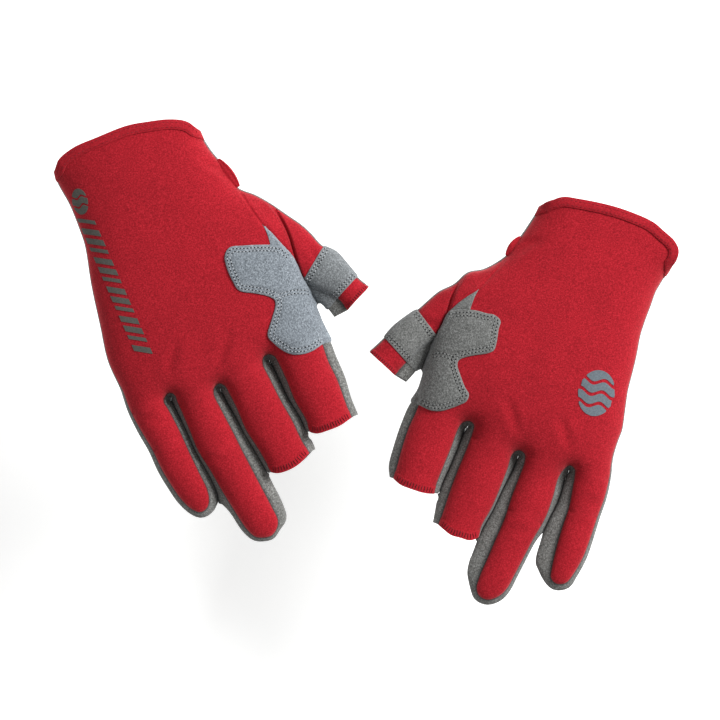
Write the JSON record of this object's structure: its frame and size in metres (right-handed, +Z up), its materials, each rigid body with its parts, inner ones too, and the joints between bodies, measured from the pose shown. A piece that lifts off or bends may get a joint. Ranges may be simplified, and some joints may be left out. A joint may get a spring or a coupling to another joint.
{
  "type": "sailing gloves",
  "caption": "Pair of short-finger sailing gloves with red stretch backs, grey suede palms and overlays, open thumb, index and middle ends and closed ring and little fingers.",
  "frame": {"origin": "centre of the pair's footprint on the table, under both gloves, which lie palm down", "axes": "+Z up out of the backs of the gloves, +Y from the fingers to the cuffs, +X from the right-hand glove to the left-hand glove"},
  "size_m": [0.3316, 0.2518, 0.0305],
  "materials": {
    "back_cloth": "brushed stretch knit",
    "trim_cloth": "stretch knit binding",
    "palm_suede": "matt synthetic suede",
    "overlay_suede": "matt synthetic suede",
    "elastic": "ribbed elastic",
    "print": "thin matt print"
  },
  "bodies": {
    "right_hand": {"right_back_panel": "back_cloth", "right_palm_panel": "palm_suede", "right_cuff_binding": "trim_cloth", "right_wrist_elastic": "elastic", "right_wrist_tab": "trim_cloth", "right_knuckle_patch": "overlay_suede", "right_thumb_gusset": "overlay_suede", "right_printed_mark": "print", "right_thumb_base": "back_cloth"},
    "right_thumb": {"right_thumb_back": "back_cloth", "right_thumb_palm": "palm_suede", "right_thumb_band": "overlay_suede"},
    "right_index": {"right_index_back": "back_cloth", "right_index_palm": "palm_suede", "right_index_sides": "palm_suede", "right_index_hem": "trim_cloth"},
    "right_middle": {"right_middle_back": "back_cloth", "right_middle_palm": "palm_suede", "right_middle_sides": "palm_suede", "right_middle_hem": "trim_cloth"},
    "right_ring": {"right_ring_back": "back_cloth", "right_ring_palm": "palm_suede", "right_ring_sides": "palm_suede"},
    "right_ring_tip": {"right_ring_tip_back": "back_cloth", "right_ring_tip_palm": "palm_suede"},
    "right_little": {"right_little_back": "back_cloth", "right_little_palm": "palm_suede", "right_little_sides": "palm_suede"},
    "right_little_tip": {"right_little_tip_back": "back_cloth", "right_little_tip_palm": "palm_suede"},
    "left_hand": {"left_back_panel": "back_cloth", "left_palm_panel": "palm_suede", "left_cuff_binding": "trim_cloth", "left_wrist_elastic": "elastic", "left_wrist_tab": "trim_cloth", "left_knuckle_patch": "overlay_suede", "left_thumb_gusset": "overlay_suede", "left_printed_mark": "print", "left_thumb_base": "back_cloth"},
    "left_thumb": {"left_thumb_back": "back_cloth", "left_thumb_palm": "palm_suede", "left_thumb_band": "overlay_suede"},
    "left_index": {"left_index_back": "back_cloth", "left_index_palm": "palm_suede", "left_index_sides": "palm_suede", "left_index_hem": "trim_cloth"},
    "left_middle": {"left_middle_back": "back_cloth", "left_middle_palm": "palm_suede", "left_middle_sides": "palm_suede", "left_middle_hem": "trim_cloth"},
    "left_ring": {"left_ring_back": "back_cloth", "left_ring_palm": "palm_suede", "left_ring_sides": "palm_suede"},
    "left_ring_tip": {"left_ring_tip_back": "back_cloth", "left_ring_tip_palm": "palm_suede"},
    "left_little": {"left_little_back": "back_cloth", "left_little_palm": "palm_suede", "left_little_sides": "palm_suede"},
    "left_little_tip": {"left_little_tip_back": "back_cloth", "left_little_tip_palm": "palm_suede"}
  },
  "joints": [
    {"name": "right_index_bend", "type": "hinge", "parent": "right_hand", "child": "right_index", "pos_m": [-0.03427, 0.00633, 0.008], "axis": [0.9285, 0.3714, 0], "range_deg": [-15, 52]},
    {"name": "right_middle_bend", "type": "hinge", "parent": "right_hand", "child": "right_middle", "pos_m": [-0.06227, -0.00844, 0.008], "axis": [0.8908, 0.4545, 0], "range_deg": [-15, 52]},
    {"name": "right_ring_bend", "type": "hinge", "parent": "right_hand", "child": "right_ring", "pos_m": [-0.0884, -0.02101, 0.008], "axis": [0.9014, 0.4329, 0], "range_deg": [-15, 52]},
    {"name": "right_ring_tip_bend", "type": "hinge", "parent": "right_ring", "child": "right_ring_tip", "pos_m": [-0.07455, -0.04985, 0.008], "axis": [0.9014, 0.4329, 0], "range_deg": [-10, 60]},
    {"name": "right_little_bend", "type": "hinge", "parent": "right_hand", "child": "right_little", "pos_m": [-0.11334, -0.02598, 0.008], "axis": [0.896, 0.4441, 0], "range_deg": [-15, 46]},
    {"name": "right_little_tip_bend", "type": "hinge", "parent": "right_little", "child": "right_little_tip", "pos_m": [-0.10312, -0.04658, 0.008], "axis": [0.896, 0.4441, 0], "range_deg": [-10, 60]},
    {"name": "right_thumb_bend", "type": "hinge", "parent": "right_hand", "child": "right_thumb", "pos_m": [-0.0235, 0.05, 0.008], "axis": [0.6247, 0.7809, 0], "range_deg": [-15, 40]},
    {"name": "left_index_bend", "type": "hinge", "parent": "left_hand", "child": "left_index", "pos_m": [0.0371, -0.02979, 0.008], "axis": [0.9487, -0.3162, 0], "range_deg": [-15, 52]},
    {"name": "left_middle_bend", "type": "hinge", "parent": "left_hand", "child": "left_middle", "pos_m": [0.06595, -0.04524, 0.008], "axis": [0.9398, -0.3417, 0], "range_deg": [-15, 52]},
    {"name": "left_ring_bend", "type": "hinge", "parent": "left_hand", "child": "left_ring", "pos_m": [0.09368, -0.05663, 0.008], "axis": [0.9223, -0.3864, 0], "range_deg": [-15, 52]},
    {"name": "left_ring_tip_bend", "type": "hinge", "parent": "left_ring", "child": "left_ring_tip", "pos_m": [0.0817, -0.08523, 0.008], "axis": [0.9223, -0.3864, 0], "range_deg": [-10, 60]},
    {"name": "left_little_bend", "type": "hinge", "parent": "left_hand", "child": "left_little", "pos_m": [0.11977, -0.06285, 0.008], "axis": [0.9576, -0.2881, 0], "range_deg": [-15, 46]},
    {"name": "left_little_tip_bend", "type": "hinge", "parent": "left_little", "child": "left_little_tip", "pos_m": [0.11343, -0.08391, 0.008], "axis": [0.9576, -0.2881, 0], "range_deg": [-10, 60]},
    {"name": "left_thumb_bend", "type": "hinge", "parent": "left_hand", "child": "left_thumb", "pos_m": [0.024, 0.011, 0.008], "axis": [0.5825, -0.8128, 0], "range_deg": [-15, 40]},
    {"name": "pair_part", "type": "slide", "parent": "right_hand", "child": "left_hand", "axis": [0, 0, 1], "range_m": [0, 0.12]}
  ]
}
